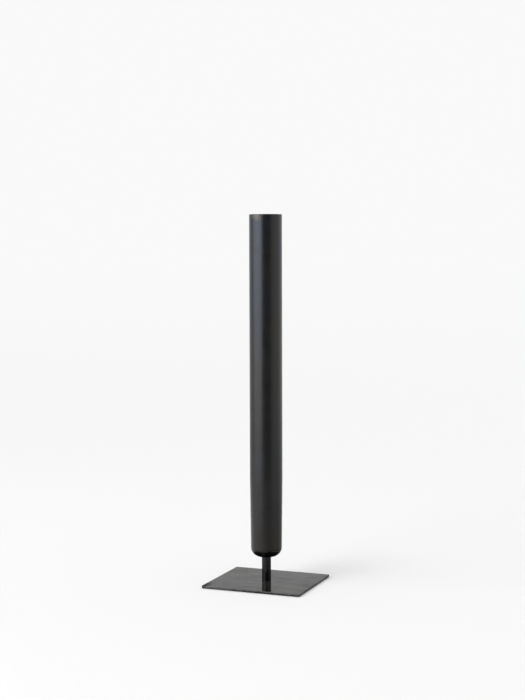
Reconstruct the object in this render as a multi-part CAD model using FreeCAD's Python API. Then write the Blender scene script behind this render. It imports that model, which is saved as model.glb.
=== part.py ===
import FreeCAD, Part
import math
import os

# Tall, slim candle holder: a steel tube with a spun, rounded foot, carried on a
# thin stem above a flat rectangular plate.  Millimetres, +Z up, origin at the
# middle of the footprint on the surface that the holder stands on, +X along the
# plate's long side.

# ---- driving dimensions -------------------------------------------------------
TOTAL_HEIGHT = 324.0

PAD_THICKNESS = 0.5
PAD_DIAMETER = 12.0
PAD_INSET = 8.5             # pad centre to the plate's edges

PLATE_LENGTH = 90.0         # along X
PLATE_WIDTH = 80.0          # along Y
PLATE_THICKNESS = 2.0
PLATE_CORNER_RADIUS = 0.8
PLATE_EDGE_RADIUS = 0.25    # broken edge on the upper and lower rims

STEM_DIAMETER = 8.0
STEM_EXPOSED = 21.0         # plate to the lowest point of the tube

TUBE_DIAMETER = 28.6
TUBE_WALL = 1.5
TAPER_START = 95.0          # height where the tube begins to draw in
TAPER_ANGLE = 0.6           # degrees from vertical
KNUCKLE_RADIUS = 8.1        # outer corner between the wall and the rounded foot
CROWN_RADIUS = 36.0         # outer radius of the rounded foot
RIM_OUTER_RADIUS = 0.4
RIM_INNER_CHAMFER = 0.3

CUP_BORE = 23.0             # takes a 22 mm taper candle
CUP_DEPTH = 30.0
CUP_FLOOR = 1.0
CUP_CORNER_RADIUS = 1.5     # inside corner between the wall and the floor
CUP_LEAD_IN = 0.6           # chamfer that guides the candle in

SPIGOT_DIAMETER = 6.0       # M6 thread on top of the stem
SPIGOT_HOLE = 6.4
SADDLE_DIAMETER = 12.0
SADDLE_EDGE = 1.2           # thickness of the saddle washer at its rim
LOCK_WASHER_OUTER = 11.8
LOCK_WASHER_INNER = 6.1
LOCK_WASHER_THICKNESS = 1.6
LOCK_WASHER_GAP = 1.4
LOCK_WASHER_SLANT = 30.0    # degrees from the washer's axis
NUT_ACROSS_FLATS = 10.0
NUT_HEIGHT = 5.0
SPIGOT_PROUD = 1.5          # thread left showing above the nut
SPIGOT_CHAMFER = 0.8
NUT_CORNER_ANGLE = 30.0     # degrees that the corners are turned down by

SCREW_DIAMETER = 4.0        # M4 countersunk
SCREW_LENGTH = 12.0
SCREW_HEAD_DIAMETER = 7.5
SCREW_HEAD_LAND = 0.15      # short cylinder at the head's rim
SCREW_SOCKET_FLATS = 2.5
SCREW_SOCKET_DEPTH = 1.3
SCREW_TIP_CHAMFER = 0.5
TAPPED_HOLE_SPARE = 1.5     # hole left beyond the screw's tip

# ---- levels and radii that follow from them ------------------------------------
PLATE_TOP = PAD_THICKNESS + PLATE_THICKNESS
TUBE_BOTTOM = PLATE_TOP + STEM_EXPOSED
TUBE_RADIUS = TUBE_DIAMETER / 2
TUBE_BORE_RADIUS = TUBE_RADIUS - TUBE_WALL
CROWN_CENTRE_Z = TUBE_BOTTOM + CROWN_RADIUS
SCREW_HEAD_HEIGHT = SCREW_HEAD_LAND + (SCREW_HEAD_DIAMETER - SCREW_DIAMETER) / 2

X_AXIS = FreeCAD.Vector(1, 0, 0)
Z_AXIS = FreeCAD.Vector(0, 0, 1)
ORIGIN = FreeCAD.Vector(0, 0, 0)


def point(radius, height):
    """A point of a turned outline, in the XZ plane."""
    return FreeCAD.Vector(radius, 0, height)


def on_arc(centre, radius, angle):
    """The point of a circle that lies angle degrees below its rightmost point."""
    turn = math.radians(angle)
    return point(centre[0] + radius * math.cos(turn), centre[1] - radius * math.sin(turn))


def line(start, end):
    return Part.LineSegment(start, end).toShape()


def arc(centre, radius, first_angle, last_angle):
    """An arc of the XZ plane between two angles below the rightmost point."""
    middle = (first_angle + last_angle) / 2
    start = on_arc(centre, radius, first_angle)
    through = on_arc(centre, radius, middle)
    end = on_arc(centre, radius, last_angle)
    return Part.Arc(start, through, end).toShape()


def polyline(points):
    """Straight edges through the points, left open."""
    return [line(a, b) for a, b in zip(points, points[1:])]


def turned(edges):
    """A solid of revolution about Z from the edges of a closed outline."""
    face = Part.Face(Part.Wire(edges))
    solid = face.revolve(ORIGIN, Z_AXIS, 360)
    return solid if solid.Volume > 0 else solid.reversed()


def turned_from(points):
    """A solid of revolution from the corners of a closed outline."""
    return turned(polyline(points + [points[0]]))


def ring(outer_diameter, inner_diameter, bottom, height):
    outer = Part.makeCylinder(outer_diameter / 2, height, point(0, bottom))
    inner = Part.makeCylinder(inner_diameter / 2, height, point(0, bottom))
    return outer.cut(inner)


def hexagon_prism(across_flats, bottom, height):
    corner_radius = across_flats / math.sqrt(3)
    corners = []
    for step in range(7):
        turn = math.radians(60 * step)
        across = corner_radius * math.cos(turn)
        along = corner_radius * math.sin(turn)
        corners.append(FreeCAD.Vector(across, along, bottom))
    return Part.Face(Part.makePolygon(corners)).extrude(FreeCAD.Vector(0, 0, height))


def knuckle_centre():
    """Centre of the arc that is tangent to the tapered wall and to the crown."""
    taper = math.radians(TAPER_ANGLE)
    outward = (math.cos(taper), -math.sin(taper))
    downward = (-math.sin(taper), -math.cos(taper))
    start = (TUBE_RADIUS - KNUCKLE_RADIUS * outward[0], TAPER_START - KNUCKLE_RADIUS * outward[1])
    from_crown = (start[0], start[1] - CROWN_CENTRE_Z)
    reach = CROWN_RADIUS - KNUCKLE_RADIUS
    along = from_crown[0] * downward[0] + from_crown[1] * downward[1]
    square = from_crown[0] ** 2 + from_crown[1] ** 2
    travel = math.sqrt(along ** 2 - square + reach ** 2) - along
    return (start[0] + travel * downward[0], start[1] + travel * downward[1])


def crown_height(crown_radius, radius):
    """Height of a crown sphere's lower side at a distance from the axis."""
    return CROWN_CENTRE_Z - math.sqrt(crown_radius ** 2 - radius ** 2)


def tube_side(inset):
    """Edges of the tube's skin, moved inwards by inset, from its hole up to its rim."""
    knuckle = knuckle_centre()
    crown = (0.0, CROWN_CENTRE_Z)
    meeting = math.degrees(math.atan2(CROWN_CENTRE_Z - knuckle[1], knuckle[0]))
    hole_angle = math.degrees(math.acos(SPIGOT_HOLE / 2 / (CROWN_RADIUS - inset)))
    wall_radius = TUBE_RADIUS - inset
    knuckle_top = on_arc(knuckle, KNUCKLE_RADIUS - inset, TAPER_ANGLE)
    taper_top = point(wall_radius, TAPER_START - inset * math.tan(math.radians(TAPER_ANGLE / 2)))
    edges = [
        arc(crown, CROWN_RADIUS - inset, hole_angle, meeting),
        arc(knuckle, KNUCKLE_RADIUS - inset, meeting, TAPER_ANGLE),
        line(knuckle_top, taper_top),
    ]
    return edges, taper_top


def candle_tube():
    outer_edges, outer_top = tube_side(0.0)
    inner_edges, inner_top = tube_side(TUBE_WALL)
    round_start = point(TUBE_RADIUS, TOTAL_HEIGHT - RIM_OUTER_RADIUS)
    round_end = point(TUBE_RADIUS - RIM_OUTER_RADIUS, TOTAL_HEIGHT)
    round_centre = (TUBE_RADIUS - RIM_OUTER_RADIUS, TOTAL_HEIGHT - RIM_OUTER_RADIUS)
    chamfer_top = point(TUBE_BORE_RADIUS + RIM_INNER_CHAMFER, TOTAL_HEIGHT)
    chamfer_foot = point(TUBE_BORE_RADIUS, TOTAL_HEIGHT - RIM_INNER_CHAMFER)
    edges = list(outer_edges)
    edges.append(line(outer_top, round_start))
    edges.append(arc(round_centre, RIM_OUTER_RADIUS, 0, -90))
    edges += polyline([round_end, chamfer_top, chamfer_foot, inner_top])
    edges += reversed(inner_edges)
    hole_inside = point(SPIGOT_HOLE / 2, crown_height(CROWN_RADIUS - TUBE_WALL, SPIGOT_HOLE / 2))
    hole_outside = point(SPIGOT_HOLE / 2, crown_height(CROWN_RADIUS, SPIGOT_HOLE / 2))
    edges.append(line(hole_inside, hole_outside))
    return turned(Part.__sortEdges__(edges))


def candle_cup():
    """Pressed cup in the mouth of the tube, flush with the rim."""
    bore_radius = CUP_BORE / 2
    outer_radius = TUBE_BORE_RADIUS
    floor_top = TOTAL_HEIGHT - CUP_DEPTH
    floor_bottom = floor_top - CUP_FLOOR
    skin = outer_radius - bore_radius
    corner_centre = (bore_radius - CUP_CORNER_RADIUS, floor_top + CUP_CORNER_RADIUS)
    outer_corner_radius = CUP_CORNER_RADIUS + skin
    outer_corner_centre = (outer_radius - outer_corner_radius, floor_bottom + outer_corner_radius)
    edges = [line(point(0, floor_bottom), point(outer_corner_centre[0], floor_bottom))]
    edges.append(arc(outer_corner_centre, outer_corner_radius, 90, 0))
    wall_foot = point(outer_radius, outer_corner_centre[1])
    rim_outside = point(outer_radius, TOTAL_HEIGHT - RIM_INNER_CHAMFER)
    rim_shoulder = point(outer_radius - RIM_INNER_CHAMFER / 2, TOTAL_HEIGHT)
    rim_inside = point(bore_radius + CUP_LEAD_IN / 2, TOTAL_HEIGHT)
    bore_top = point(bore_radius, TOTAL_HEIGHT - CUP_LEAD_IN)
    bore_foot = point(bore_radius, corner_centre[1])
    edges += polyline([wall_foot, rim_outside, rim_shoulder, rim_inside, bore_top, bore_foot])
    edges.append(arc(corner_centre, CUP_CORNER_RADIUS, 0, 90))
    edges += polyline([point(corner_centre[0], floor_top), point(0, floor_top), point(0, floor_bottom)])
    return turned(edges)


def saddle_top():
    """Flat top of the washer that fills the bowl of the rounded foot."""
    return crown_height(CROWN_RADIUS - TUBE_WALL, SADDLE_DIAMETER / 2) + SADDLE_EDGE


def saddle_washer():
    """Washer with a flat top and a domed underside that sits in the rounded foot."""
    seat_radius = CROWN_RADIUS - TUBE_WALL
    rim_radius = SADDLE_DIAMETER / 2
    hole_radius = SPIGOT_HOLE / 2
    hole_angle = math.degrees(math.acos(hole_radius / seat_radius))
    rim_angle = math.degrees(math.acos(rim_radius / seat_radius))
    edges = [arc((0.0, CROWN_CENTRE_Z), seat_radius, hole_angle, rim_angle)]
    edges += polyline([
        point(rim_radius, crown_height(seat_radius, rim_radius)),
        point(rim_radius, saddle_top()),
        point(hole_radius, saddle_top()),
        point(hole_radius, crown_height(seat_radius, hole_radius)),
    ])
    return turned(edges)


def lock_washer():
    """Spring washer, drawn pressed flat, with its slanting cut."""
    washer = ring(LOCK_WASHER_OUTER, LOCK_WASHER_INNER, saddle_top(), LOCK_WASHER_THICKNESS)
    cutter_height = LOCK_WASHER_OUTER
    cutter = Part.makeBox(LOCK_WASHER_OUTER, LOCK_WASHER_GAP, cutter_height)
    cutter.translate(FreeCAD.Vector(0, -LOCK_WASHER_GAP / 2, -cutter_height / 2))
    cutter.rotate(ORIGIN, X_AXIS, LOCK_WASHER_SLANT)
    cutter.translate(point(0, saddle_top() + LOCK_WASHER_THICKNESS / 2))
    return washer.cut(cutter)


def nut_bottom():
    return saddle_top() + LOCK_WASHER_THICKNESS


def stem_nut():
    """M6 nut with its corners turned down at both ends."""
    corner_radius = NUT_ACROSS_FLATS / math.sqrt(3)
    flat_radius = NUT_ACROSS_FLATS / 2
    drop = (corner_radius - flat_radius) * math.tan(math.radians(NUT_CORNER_ANGLE))
    bottom = nut_bottom()
    top = bottom + NUT_HEIGHT
    envelope = turned_from([
        point(0, bottom),
        point(flat_radius, bottom),
        point(corner_radius, bottom + drop),
        point(corner_radius, top - drop),
        point(flat_radius, top),
        point(0, top),
    ])
    nut = hexagon_prism(NUT_ACROSS_FLATS, bottom, NUT_HEIGHT).common(envelope)
    return nut.cut(Part.makeCylinder(SPIGOT_DIAMETER / 2, NUT_HEIGHT, point(0, bottom)))


def stem():
    """Turned rod: shoulder under the tube, threaded spigot through it, tapped foot."""
    shoulder = crown_height(CROWN_RADIUS, SPIGOT_HOLE / 2)
    spigot_top = nut_bottom() + NUT_HEIGHT + SPIGOT_PROUD
    rod_radius = STEM_DIAMETER / 2
    spigot_radius = SPIGOT_DIAMETER / 2
    rod = turned_from([
        point(0, PLATE_TOP),
        point(rod_radius, PLATE_TOP),
        point(rod_radius, shoulder),
        point(spigot_radius, shoulder),
        point(spigot_radius, spigot_top - SPIGOT_CHAMFER),
        point(spigot_radius - SPIGOT_CHAMFER, spigot_top),
        point(0, spigot_top),
    ])
    tip = PAD_THICKNESS + SCREW_LENGTH
    hole_height = tip + TAPPED_HOLE_SPARE - PLATE_TOP
    return rod.cut(Part.makeCylinder(SCREW_DIAMETER / 2, hole_height, point(0, PLATE_TOP)))


def base_screw():
    """M4 countersunk screw, its head level with the plate's underside."""
    head_radius = SCREW_HEAD_DIAMETER / 2
    shank_radius = SCREW_DIAMETER / 2
    head_bottom = PAD_THICKNESS
    tip = head_bottom + SCREW_LENGTH
    screw = turned_from([
        point(0, head_bottom),
        point(head_radius, head_bottom),
        point(head_radius, head_bottom + SCREW_HEAD_LAND),
        point(shank_radius, head_bottom + SCREW_HEAD_HEIGHT),
        point(shank_radius, tip - SCREW_TIP_CHAMFER),
        point(shank_radius - SCREW_TIP_CHAMFER, tip),
        point(0, tip),
    ])
    return screw.cut(hexagon_prism(SCREW_SOCKET_FLATS, head_bottom, SCREW_SOCKET_DEPTH))


def base_plate():
    """Flat rectangular plate with a countersunk hole in the middle."""
    corner = FreeCAD.Vector(-PLATE_LENGTH / 2, -PLATE_WIDTH / 2, PAD_THICKNESS)
    plate = Part.makeBox(PLATE_LENGTH, PLATE_WIDTH, PLATE_THICKNESS, corner)
    upright = [edge for edge in plate.Edges if edge.BoundBox.ZLength > PLATE_THICKNESS / 2]
    plate = plate.makeFillet(PLATE_CORNER_RADIUS, upright)
    rims = [edge for edge in plate.Edges if edge.BoundBox.ZLength < PLATE_THICKNESS / 2]
    plate = plate.makeFillet(PLATE_EDGE_RADIUS, rims)
    head_radius = SCREW_HEAD_DIAMETER / 2
    shank_radius = SCREW_DIAMETER / 2
    countersink = turned_from([
        point(0, PAD_THICKNESS),
        point(head_radius, PAD_THICKNESS),
        point(head_radius, PAD_THICKNESS + SCREW_HEAD_LAND),
        point(shank_radius, PAD_THICKNESS + SCREW_HEAD_HEIGHT),
        point(shank_radius, PLATE_TOP),
        point(0, PLATE_TOP),
    ])
    return plate.cut(countersink)


def pad(side_x, side_y):
    """Self-adhesive rubber disc under one corner of the plate."""
    centre_x = side_x * (PLATE_LENGTH / 2 - PAD_INSET)
    centre_y = side_y * (PLATE_WIDTH / 2 - PAD_INSET)
    return Part.makeCylinder(PAD_DIAMETER / 2, PAD_THICKNESS, FreeCAD.Vector(centre_x, centre_y, 0))


def build():
    nodes = {
        "candle_tube": candle_tube(),
        "candle_cup": candle_cup(),
        "saddle_washer": saddle_washer(),
        "lock_washer": lock_washer(),
        "stem_nut": stem_nut(),
        "stem": stem(),
        "base_screw": base_screw(),
        "base_plate": base_plate(),
    }
    for side_y, depth_name in ((-1, "front"), (1, "back")):
        for side_x, width_name in ((-1, "left"), (1, "right")):
            nodes["pad_" + depth_name + "_" + width_name] = pad(side_x, side_y)
    return nodes


def main():
    os.makedirs("parts", exist_ok=True)
    for name, shape in build().items():
        solid = shape.Solids[0]
        box = solid.BoundBox
        print(name, "solids", len(shape.Solids), "valid", solid.isValid(),
              "volume", round(solid.Volume, 1), "z", round(box.ZMin, 3), round(box.ZMax, 3))
        solid.exportStep("parts/" + name + ".step")


main()
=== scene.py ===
import math

import bpy
from mathutils import Matrix, Vector


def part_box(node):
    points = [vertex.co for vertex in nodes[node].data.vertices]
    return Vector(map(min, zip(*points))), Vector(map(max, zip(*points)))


# Looks for a tall, slim candle holder of blackened steel.  Metres, in the CAD frame:
# +Z up, origin in the middle of the footprint on the floor, +X along the plate.

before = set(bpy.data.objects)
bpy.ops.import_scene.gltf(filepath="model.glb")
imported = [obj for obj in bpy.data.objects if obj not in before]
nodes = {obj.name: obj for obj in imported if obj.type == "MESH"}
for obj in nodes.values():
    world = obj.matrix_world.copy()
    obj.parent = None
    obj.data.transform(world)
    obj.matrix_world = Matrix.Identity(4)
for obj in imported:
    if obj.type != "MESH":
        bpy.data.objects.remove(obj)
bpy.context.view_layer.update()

# ---- places read from the frame ------------------------------------------------
tube_low, tube_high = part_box("candle_tube")
plate_low, plate_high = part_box("base_plate")
TUBE_RADIUS = tube_high.x
HEIGHT = tube_high.z
PLATE_HALF_X = plate_high.x
PLATE_HALF_Y = plate_high.y

# ---- wear and marks --------------------------------------------------------------
SCUFF_HIGHLIGHT_AZIMUTH = -11.7        # degrees round the tube's mouth; 0 faces -Y; a scuff that is also a painted highlight
SCUFF_HIGHLIGHT_DEPTH = 0.0012         # its middle, below the rim
BLUE_FROM = 0.19             # the blue tint sets in at this height
BLUE_FULL = 0.29
# a dark spot on the plate near the left front corner: a painted reflection
DARK_REFLECTION_CENTRE = (-PLATE_HALF_X + 0.0006, -PLATE_HALF_Y + 0.0030, plate_high.z)
DARK_REFLECTION_SQUEEZE = (1.0, 0.5, 1.0)      # the spot is twice as long along Y
RUST_CENTRE = (PLATE_HALF_X - 0.0010, -PLATE_HALF_Y, plate_low.z + 0.0012)

# ---- camera ----------------------------------------------------------------------
CAMERA_AZIMUTH = 21.29       # degrees; 0 looks along +Y
CAMERA_DISTANCE = 1.2434     # from the tube's axis, along the floor
CAMERA_HEIGHT = 0.2950
CAMERA_PITCH = 4.09          # degrees, looking down
CAMERA_YAW = -0.136          # degrees to the right of the tube's axis
CAMERA_ROLL = 0.169
CAMERA_LENS = 73.46          # mm
SENSOR_WIDTH = 36.0          # mm, along the long side of the frame

# ---- studio; azimuths are in degrees from the camera's side, positive to its right ---
WHITE = 0.947                # radiance of floor and backdrop
FLOOR_HALF_SIDE = 30.0
FLOOR_ALBEDO = 0.55
SUN_SHARE = 0.16             # part of the floor's radiance that comes from the overhead light
SUN_AZIMUTH = -51.0
SUN_ELEVATION = 69.0
SUN_WIDTH = 15.0             # degrees
KEY_AZIMUTH = -61.0
KEY_DISTANCE = 0.9
KEY_HALF_WIDTH = 0.58
KEY_HEIGHT = 0.95
KEY_LIGHT = 0.19             # radiance it gives the floor, times squared distance
KEY_SPREAD = 0.285           # square metres: so wide a card weakens slowly close by
BOUNCE_INNER = 0.064
BOUNCE_OUTER = 0.43
BOUNCE_HEIGHT = 0.0002       # just clear of the floor
BOUNCE_STEPS = 48
BOUNCE_SHADED_BY_PLATE = 0.30       # the ring's radiance beside the plate, dimmed there as painted shade
BOUNCE_OPEN = 0.62           # and further out


# ---- small helpers for materials -----------------------------------------------
class Tree:
    """Adds nodes to a material's or a world's tree and links them in one call."""

    def __init__(self, owner):
        owner.use_nodes = True
        self.tree = owner.node_tree
        self.tree.nodes.clear()

    def add(self, kind, settings=None, **inputs):
        """A new node.  i0, i1 and so on set inputs by number; From_Min sets "From Min"."""
        node = self.tree.nodes.new("ShaderNode" + kind)
        for name, value in (settings or {}).items():
            setattr(node, name, value)
        for name, value in inputs.items():
            self.plug(node, name, value)
        return node

    def plug(self, node, name, value):
        """Sets an input, or links it when the value is another node's output."""
        numbered = name[0] == "i" and name[1:].isdigit()
        key = int(name[1:]) if numbered else name.replace("_", " ")
        if isinstance(value, bpy.types.NodeSocket):
            self.tree.links.new(value, node.inputs[key])
        else:
            node.inputs[key].default_value = value

    def math(self, operation, a, b=0.0, clamp=False):
        settings = {"operation": operation, "use_clamp": clamp}
        return self.add("Math", settings, i0=a, i1=b).outputs[0]

    def vector(self, operation, a, b):
        return self.add("VectorMath", {"operation": operation}, i0=a, i1=b).outputs

    def position(self):
        return self.add("TexCoord").outputs["Object"]

    def split(self, vector):
        """The three coordinates of a vector."""
        return self.add("SeparateXYZ", Vector=vector).outputs

    def upward(self):
        """How far the surface faces up: 1 on top, 0 on a wall, -1 underneath."""
        return self.split(self.add("NewGeometry").outputs["Normal"])[2]

    def distance(self, place, centre):
        return self.vector("DISTANCE", place, centre)["Value"]

    def length(self, vector):
        return self.add("VectorMath", {"operation": "LENGTH"}, i0=vector).outputs["Value"]

    def scaled(self, vector, scale):
        return self.add("Mapping", {"vector_type": "POINT"}, Vector=vector, Scale=scale).outputs[0]

    def noise(self, vector, scale, detail=4.0, roughness=0.55, distortion=0.0):
        node = self.add("TexNoise", Vector=vector, Scale=scale, Detail=detail,
                        Roughness=roughness, Distortion=distortion)
        return node.outputs[0]

    def ramp(self, value, low, high, to_low=0.0, to_high=1.0, smooth=True):
        """to_low at low, to_high at high, a blend between them and no change beyond."""
        kind = "SMOOTHSTEP" if smooth else "LINEAR"
        node = self.add("MapRange", {"interpolation_type": kind}, Value=value,
                        From_Min=low, From_Max=high, To_Min=to_low, To_Max=to_high)
        return node.outputs[0]

    def mix(self, factor, a, b):
        """Blend of two colours."""
        return self.add("Mix", {"data_type": "RGBA"}, i0=factor, i6=a, i7=b).outputs[2]

    def shaded(self, colour, factor):
        """A colour made lighter or darker."""
        return self.add("VectorMath", {"operation": "SCALE"}, i0=colour, Scale=factor).outputs[0]

    def bump(self, height, distance, strength, normal=None):
        node = self.add("Bump", Height=height, Distance=distance, Strength=strength)
        if normal is not None:
            self.plug(node, "Normal", normal)
        return node.outputs[0]

    def finish(self, shader):
        self.add("OutputMaterial", Surface=shader)


def rgb(red, green, blue):
    return (red, green, blue, 1.0)


def towards(azimuth, distance, height):
    """A place seen from the tube's axis; azimuth 0 is towards the camera, positive to its right."""
    turn = math.radians(CAMERA_AZIMUTH + azimuth)
    return Vector((distance * math.sin(turn), -distance * math.cos(turn), height))


# ---- materials -------------------------------------------------------------------
def blackened_steel(name, cool, warm, lift, blotch_size, roughness, edge_tint,
                    hue=None, wear=None, film=None):
    """Oiled black oxide on steel: faint blue and brown clouds, a fine grain, satin gloss.

    cool and warm are the two reflectances the clouds run between, lift is how far the
    clouds lighten or darken them, and blotch_size is the clouds' size in metres.  hue,
    wear and film are functions that replace or add to the plain ones."""
    material = bpy.data.materials.new(name)
    tree = Tree(material)
    place = tree.position()
    clouds = tree.noise(place, 1.0 / blotch_size, detail=5.0, roughness=0.6, distortion=0.4)
    specks = tree.noise(place, 900.0, detail=3.0, roughness=0.65)
    if hue:
        warmth = hue(tree, place)
    else:
        warmth = tree.ramp(tree.noise(place, 0.45 / blotch_size, detail=2.0), 0.38, 0.62)
    colour = tree.mix(warmth, rgb(*cool), rgb(*warm))
    colour = tree.shaded(colour, tree.ramp(clouds, 0.3, 0.7, 1.0 - lift, 1.0 + lift))
    gloss = tree.ramp(clouds, 0.25, 0.75, roughness - 0.035, roughness + 0.035)
    gloss = tree.math("ADD", gloss, tree.ramp(specks, 0.3, 0.7, -0.02, 0.02))
    grain = tree.noise(tree.scaled(place, (1.0, 1.0, 0.12)), 1500.0, detail=2.0)
    normal = tree.bump(grain, 0.000012, 0.35)
    normal = tree.bump(clouds, 0.00006, 0.25, normal)
    if wear:
        colour, gloss, normal = wear(tree, place, colour, gloss, normal)
    dull = tree.ramp(clouds, 0.35, 0.75, 0.0, 0.06)
    if film:
        dull = film(tree, place, dull)
    colour = tree.shaded(colour, tree.ramp(dull, 0.0, 0.3, 1.0, 0.3, smooth=False))
    metallic = tree.math("SUBTRACT", 1.0, dull)
    steel = tree.add("BsdfPrincipled", Base_Color=colour, Metallic=metallic,
                     Roughness=gloss, Normal=normal)
    steel.inputs["Specular IOR Level"].default_value = 0.0
    steel.inputs["Specular Tint"].default_value = rgb(edge_tint, edge_tint, edge_tint)
    tree.finish(steel.outputs[0])
    return material


def tube_hue(tree, place):
    """Faint blue high up on the flank where the key softbox's highlight falls, a painted tint of that
    highlight; neutral elsewhere, a little brown at the rounded foot.
    """
    parts = tree.split(place)
    across, height = parts[0], parts[2]
    upper = tree.ramp(height, BLUE_FROM, BLUE_FULL)
    # the blue stays on the flank that shows the key softbox's highlight: a painted tint of that
    # highlight
    highlight_flank = tree.ramp(across, 0.3 * TUBE_RADIUS, 0.85 * TUBE_RADIUS, -0.62, 0.0)
    tint = tree.math("ADD", tree.math("MULTIPLY", upper, highlight_flank), 0.78)
    foot = tree.ramp(height, 0.028, 0.06, 0.3, 0.0)
    streaks = tree.noise(tree.scaled(place, (1.0, 1.0, 0.22)), 55.0, detail=3.0)
    reach = tree.ramp(height, BLUE_FROM, BLUE_FULL, 0.4, 0.9)
    wander = tree.math("MULTIPLY", tree.ramp(streaks, 0.34, 0.66, -0.5, 0.5), reach)
    return tree.math("ADD", tree.math("ADD", tint, foot), wander, clamp=True)


def tube_wear(tree, place, colour, gloss, normal):
    """Bare, roughened steel where the mouth has been knocked, lightened further as a painted
    highlight on the rim; a rubbed rim, a glossier foot.
    """
    turn = math.radians(SCUFF_HIGHLIGHT_AZIMUTH)
    centre = (TUBE_RADIUS * math.sin(turn), -TUBE_RADIUS * math.cos(turn), HEIGHT - SCUFF_HIGHLIGHT_DEPTH)
    torn = tree.noise(place, 700.0, detail=5.0, roughness=0.7)
    ragged = tree.ramp(torn, 0.3, 0.7, -0.0032, 0.0036)
    away = tree.math("ADD", tree.distance(place, centre), ragged)
    scuff_and_highlight = tree.ramp(away, 0.0010, 0.0062, 0.95, 0.0)
    # the scuff's light colour is partly wear and partly a painted highlight where the rim catches the
    # key light
    colour = tree.mix(scuff_and_highlight, colour, rgb(0.090, 0.087, 0.080))
    height = tree.split(place)[2]
    uneven = tree.ramp(tree.noise(place, 320.0, detail=5.0), 0.3, 0.7, -0.0004, 0.0004)
    level = tree.math("ADD", height, uneven)
    lip = tree.ramp(level, HEIGHT - 0.0006, HEIGHT + 0.0001, 0.0, 0.7)
    colour = tree.mix(lip, colour, rgb(0.1, 0.097, 0.092))
    gloss = tree.math("ADD", gloss, tree.ramp(height, 0.035, 0.09, -0.12, 0.0))
    gloss = tree.math("ADD", gloss, tree.math("MULTIPLY", scuff_and_highlight, 0.18))
    normal = tree.bump(tree.math("MULTIPLY", scuff_and_highlight, torn), 0.0002, 0.6, normal)
    return colour, gloss, normal


def plate_film(tree, place, dull):
    """Dull bloom left in streaks along the sheet, and a dark spot at one corner that is a painted
    reflection.
    """
    along = tree.scaled(place, (0.3, 1.0, 1.0))
    streaks = tree.noise(along, 110.0, detail=6.0, roughness=0.62)
    swirls = tree.noise(place, 38.0, detail=4.0, roughness=0.6, distortion=1.6)
    in_streaks = tree.ramp(streaks, 0.3, 0.72, 0.0, 0.13)
    in_swirls = tree.ramp(swirls, 0.4, 0.7, 0.0, 0.11)
    bloom = tree.math("ADD", dull, tree.math("ADD", in_streaks, in_swirls))
    # the dark corner spot, a painted reflection: darker and less metallic
    from_dark_reflection = tree.vector("SUBTRACT", place, DARK_REFLECTION_CENTRE)[0]
    away = tree.length(tree.scaled(from_dark_reflection, DARK_REFLECTION_SQUEEZE))
    uneven = tree.ramp(tree.noise(place, 420.0, detail=4.0), 0.3, 0.7, -0.001, 0.001)
    ragged = tree.math("ADD", away, uneven)
    painted_dark_reflection = tree.math("POWER", tree.ramp(ragged, 0.0016, 0.0085, 1.0, 0.0, smooth=False), 1.5)
    on_top = tree.ramp(tree.upward(), 0.6, 0.95, 0.25, 0.95)
    return tree.math("MAXIMUM", bloom, tree.math("MULTIPLY", painted_dark_reflection, on_top))


def plate_wear(tree, place, colour, gloss, normal):
    """Faint rolling streaks; sheared edges rubbed light along the top, lighter towards the left end;
    under that a dark strip of painted shade from the gap below the plate; a fleck of rust.
    """
    streaks = tree.noise(tree.scaled(place, (0.35, 1.0, 1.0)), 130.0, detail=5.0, roughness=0.6)
    colour = tree.shaded(colour, tree.ramp(streaks, 0.3, 0.7, 0.9, 1.12))
    gloss = tree.math("ADD", gloss, tree.ramp(streaks, 0.3, 0.7, 0.02, -0.03))
    edge = tree.ramp(tree.math("ABSOLUTE", tree.upward()), 0.3, 0.9, 1.0, 0.0)
    parts = tree.split(place)
    across, height = parts[0], parts[2]
    level = tree.math("ADD", height, tree.ramp(streaks, 0.3, 0.7, -0.00025, 0.00025))
    level = tree.math("ADD", level, tree.ramp(across, -PLATE_HALF_X, 0.0, 0.0005, 0.0))
    # below this level the sides keep the dark edge colour: painted shade of the thin gap under the
    # plate
    upper = tree.ramp(level, plate_low.z + 0.0005, plate_low.z + 0.0012)
    patchy = tree.ramp(tree.noise(place, 260.0, detail=4.0), 0.3, 0.7, 0.65, 1.0)
    rubbed_above_gap_shade = tree.math("MULTIPLY", tree.math("MULTIPLY", edge, upper), patchy)
    colour = tree.mix(edge, colour, rgb(0.022, 0.021, 0.02))
    # the rubbed colour is lighter towards the left end
    rightwards = tree.ramp(across, -PLATE_HALF_X, 0.0)
    bare = tree.mix(rightwards, rgb(0.165, 0.161, 0.155), rgb(0.125, 0.122, 0.118))
    colour = tree.mix(rubbed_above_gap_shade, colour, bare)
    near_rust = tree.ramp(tree.distance(place, RUST_CENTRE), 0.0008, 0.0035, 1.0, 0.0)
    fleck = tree.math("MULTIPLY", near_rust, edge)
    colour = tree.mix(fleck, colour, rgb(0.130, 0.108, 0.094))
    gloss = tree.math("ADD", gloss, tree.math("MULTIPLY", edge, 0.14))
    return colour, gloss, normal


def rubber(name):
    """Matt black rubber with a fine pebbled skin."""
    material = bpy.data.materials.new(name)
    tree = Tree(material)
    place = tree.position()
    pebbles = tree.noise(place, 1800.0, detail=3.0)
    patches = tree.ramp(tree.noise(place, 300.0), 0.3, 0.7)
    colour = tree.mix(patches, rgb(0.012, 0.012, 0.012), rgb(0.02, 0.02, 0.02))
    normal = tree.bump(pebbles, 0.00005, 0.5)
    gloss = tree.ramp(pebbles, 0.3, 0.7, 0.6, 0.78)
    shader = tree.add("BsdfPrincipled", Base_Color=colour, Roughness=gloss, Normal=normal)
    tree.finish(shader.outputs[0])
    return material


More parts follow.
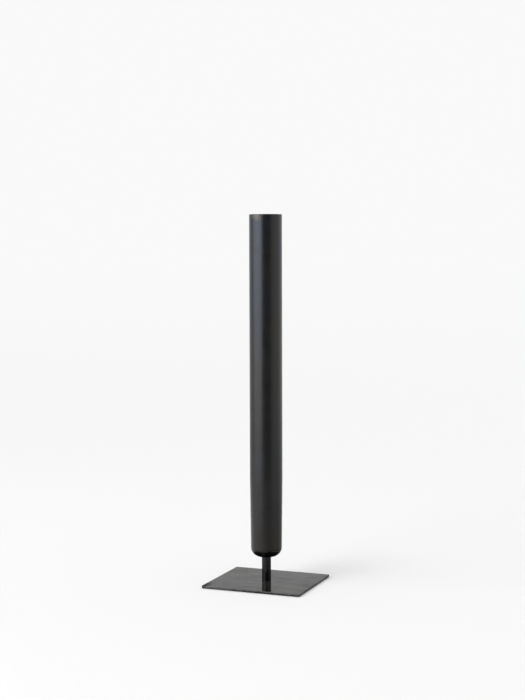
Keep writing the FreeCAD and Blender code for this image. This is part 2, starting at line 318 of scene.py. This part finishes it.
def floor_paper():
    """Plain white paper, part lit by the studio and part glowing, so that it stays even."""
    material = bpy.data.materials.new("studio_paper")
    tree = Tree(material)
    from_key = tree.distance(tree.position(), tuple(towards(KEY_AZIMUTH, KEY_DISTANCE, 0.0)))
    spread = tree.math("ADD", tree.math("MULTIPLY", from_key, from_key), KEY_SPREAD)
    key_share = tree.math("DIVIDE", KEY_LIGHT, spread)
    lit = WHITE * FLOOR_ALBEDO + SUN_SHARE
    glow = tree.math("MAXIMUM", tree.math("SUBTRACT", WHITE - lit, key_share), 0.0)
    diffuse = tree.add("BsdfDiffuse", Color=rgb(FLOOR_ALBEDO, FLOOR_ALBEDO, FLOOR_ALBEDO))
    emission = tree.add("Emission", Color=rgb(1.0, 1.0, 1.0), Strength=glow)
    both = tree.add("AddShader", i0=diffuse.outputs[0], i1=emission.outputs[0])
    tree.finish(both.outputs[0])
    return material


# ---- how brightly each studio card glows -------------------------------------------
def glowing_card(name, glow):
    """A card's material; glow(tree, place) gives its radiance at a place."""
    material = bpy.data.materials.new(name)
    tree = Tree(material)
    strength = glow(tree, tree.position())
    emission = tree.add("Emission", Color=rgb(1.0, 1.0, 1.0), Strength=strength)
    tree.finish(emission.outputs[0])
    return material


def facing(tree, place, azimuth):
    """1 where a place lies towards the azimuth from the tube, and -1 on the far side."""
    flat = tree.add("VectorMath", {"operation": "NORMALIZE"}, i0=place).outputs[0]
    return tree.vector("DOT_PRODUCT", flat, tuple(towards(azimuth, 1.0, 0.0)))["Value"]


def even_glow(level):
    """The same radiance all over a card."""
    def glow(tree, place):
        return level
    return glow


def key_glow(tree, place):
    """Brighter towards the top."""
    return tree.ramp(tree.split(place)[2], 0.05, 0.36, 2.75, 4.9, smooth=False)


def fill_glow(tree, place):
    """Brightest behind the tube, weaker towards the camera's side."""
    return tree.ramp(facing(tree, place, 0.0), 0.6, -0.6, 1.15, 1.5, smooth=False)


def bounce_glow(tree, place):
    """Bright on the left as painted light from that side, dimmest a little to the right of the
    camera, and dim beside the plate as painted shade.
    """
    side = facing(tree, place, 90.0)
    leftness = tree.ramp(side, 0.45, -1.0, 0.0, 1.0, smooth=False)
    on_left = tree.math("MULTIPLY", tree.math("POWER", leftness, 1.9), 0.95)
    on_right = tree.ramp(side, 0.45, 1.0, 0.0, 0.16)
    # dimmer close to the plate: painted shade where the floor would lie in the object's shadow
    base = tree.ramp(tree.length(place), 0.07, 0.15, BOUNCE_SHADED_BY_PLATE, BOUNCE_OPEN)
    return tree.math("ADD", tree.math("ADD", on_left, base), on_right)


# ---- studio ------------------------------------------------------------------------
def make_camera():
    data = bpy.data.cameras.new("camera")
    data.lens = CAMERA_LENS
    data.sensor_width = SENSOR_WIDTH
    data.clip_start = 0.05
    data.clip_end = 100.0
    camera = bpy.data.objects.new("camera", data)
    heading = Matrix.Rotation(math.radians(CAMERA_AZIMUTH - CAMERA_YAW), 4, "Z")
    tilt = Matrix.Rotation(math.radians(90.0 - CAMERA_PITCH), 4, "X")
    roll = Matrix.Rotation(math.radians(-CAMERA_ROLL), 4, "Z")
    place = Matrix.Translation(towards(0.0, CAMERA_DISTANCE, CAMERA_HEIGHT))
    camera.matrix_world = place @ heading @ tilt @ roll
    bpy.context.scene.collection.objects.link(camera)
    bpy.context.scene.camera = camera


def make_world():
    world = bpy.data.worlds.new("studio_white")
    bpy.context.scene.world = world
    tree = Tree(world)
    background = tree.add("Background", Color=rgb(1.0, 1.0, 1.0), Strength=WHITE)
    tree.add("OutputWorld", Surface=background.outputs[0])


def make_overhead():
    """Large soft light high on the left: it throws the pale shadow behind the plate."""
    data = bpy.data.lights.new("overhead", "SUN")
    data.angle = math.radians(SUN_WIDTH)
    data.energy = SUN_SHARE * math.pi / FLOOR_ALBEDO / math.sin(math.radians(SUN_ELEVATION))
    light = bpy.data.objects.new("overhead", data)
    tilt = math.radians(90.0 - SUN_ELEVATION)
    light.rotation_euler = (tilt, 0.0, math.radians(CAMERA_AZIMUTH + SUN_AZIMUTH))
    bpy.context.scene.collection.objects.link(light)


def make_sheet(name, corners, material):
    """A flat stage piece with one face."""
    mesh = bpy.data.meshes.new(name)
    mesh.from_pydata([tuple(corner) for corner in corners], [], [tuple(range(len(corners)))])
    mesh.materials.append(material)
    sheet = bpy.data.objects.new(name, mesh)
    bpy.context.scene.collection.objects.link(sheet)
    return sheet


def make_floor():
    side = FLOOR_HALF_SIDE
    corners = [(x * side, y * side, 0.0) for x, y in ((-1, -1), (1, -1), (1, 1), (-1, 1))]
    make_sheet("floor", corners, floor_paper())


def upright_card(name, azimuth, distance, half_width, height, glow):
    """A flat card that stands on the floor, faces the tube and isn't seen by the camera."""
    turn = math.radians(CAMERA_AZIMUTH + azimuth)
    across = Vector((math.cos(turn), math.sin(turn), 0.0)) * half_width
    foot = towards(azimuth, distance, 0.0)
    up = Vector((0.0, 0.0, height))
    corners = [foot - across, foot + across, foot + across + up, foot - across + up]
    card = make_sheet(name, corners, glowing_card(name + "_glow", glow))
    card.visible_camera = False
    card.visible_transmission = False
    return card


def only_reflected(card):
    """Keeps a card out of diffuse light and shadows, so that only glossy reflections see it."""
    card.visible_diffuse = False
    card.visible_shadow = False


def make_flag():
    """Grey card in front of the tube: the dark stripe."""
    only_reflected(upright_card(
        "flag", azimuth=3.5, distance=0.45, half_width=0.276, height=0.7, glow=even_glow(0.29)))


def make_fills():
    """White cards to the right and at the back left, for the tube's paler edges."""
    only_reflected(upright_card(
        "fill_right", azimuth=100.0, distance=0.9, half_width=1.0, height=0.95, glow=fill_glow))
    only_reflected(upright_card(
        "fill_left", azimuth=-125.0, distance=0.9, half_width=0.4, height=0.95, glow=even_glow(1.25)))


def make_bounce():
    """Glowing ring round the foot that only reflections see, painted brighter on the left as if lit
    from there.
    """
    mesh = bpy.data.meshes.new("bounce")
    corners = []
    for step in range(BOUNCE_STEPS):
        turn = 2.0 * math.pi * step / BOUNCE_STEPS
        for radius in (BOUNCE_INNER, BOUNCE_OUTER):
            corners.append((radius * math.cos(turn), radius * math.sin(turn), BOUNCE_HEIGHT))
    faces = []
    for step in range(BOUNCE_STEPS):
        here, after = 2 * step, 2 * ((step + 1) % BOUNCE_STEPS)
        faces.append((here, here + 1, after + 1, after))
    mesh.from_pydata(corners, [], faces)
    mesh.materials.append(glowing_card("bounce_glow", bounce_glow))
    ring = bpy.data.objects.new("bounce", mesh)
    bpy.context.scene.collection.objects.link(ring)
    ring.visible_camera = False
    ring.visible_transmission = False
    only_reflected(ring)


def make_key():
    """Large softbox on the left: the tube's broad highlight."""
    upright_card("key_softbox", KEY_AZIMUTH, KEY_DISTANCE, KEY_HALF_WIDTH, KEY_HEIGHT, key_glow)


# ---- dressing the CAD pieces -------------------------------------------------------
def dress(material, names):
    for name in names:
        slots = nodes[name].data.materials
        slots.clear()
        slots.append(material)


tube_steel = blackened_steel(
    "blackened_tube", cool=(0.031, 0.035, 0.044), warm=(0.0375, 0.036, 0.033), lift=0.10,
    blotch_size=0.016, roughness=0.34, edge_tint=0.95, hue=tube_hue, wear=tube_wear)
cup_steel = blackened_steel(
    "blackened_cup", cool=(0.12, 0.12, 0.122), warm=(0.16, 0.155, 0.148), lift=0.15,
    blotch_size=0.01, roughness=0.38, edge_tint=0.9)
stem_steel = blackened_steel(
    "blackened_stem", cool=(0.031, 0.032, 0.034), warm=(0.034, 0.032, 0.030), lift=0.10,
    blotch_size=0.008, roughness=0.15, edge_tint=0.55)
plate_steel = blackened_steel(
    "blackened_plate", cool=(0.052, 0.053, 0.056), warm=(0.066, 0.063, 0.059), lift=0.25,
    blotch_size=0.02, roughness=0.10, edge_tint=0.74, wear=plate_wear, film=plate_film)
oxide_steel = blackened_steel(
    "black_oxide", cool=(0.07, 0.07, 0.075), warm=(0.08, 0.076, 0.07), lift=0.12,
    blotch_size=0.004, roughness=0.36, edge_tint=0.9)
pad_rubber = rubber("pad_rubber")

dress(tube_steel, ["candle_tube"])
dress(cup_steel, ["candle_cup"])
dress(stem_steel, ["stem"])
dress(plate_steel, ["base_plate"])
dress(oxide_steel, ["saddle_washer", "lock_washer", "stem_nut", "base_screw"])
dress(pad_rubber, [name for name in nodes if name.startswith("pad_")])

make_camera()
make_world()
make_floor()
make_flag()
make_fills()
make_bounce()
make_key()
make_overhead()
bpy.context.scene.view_settings.view_transform = "Standard"
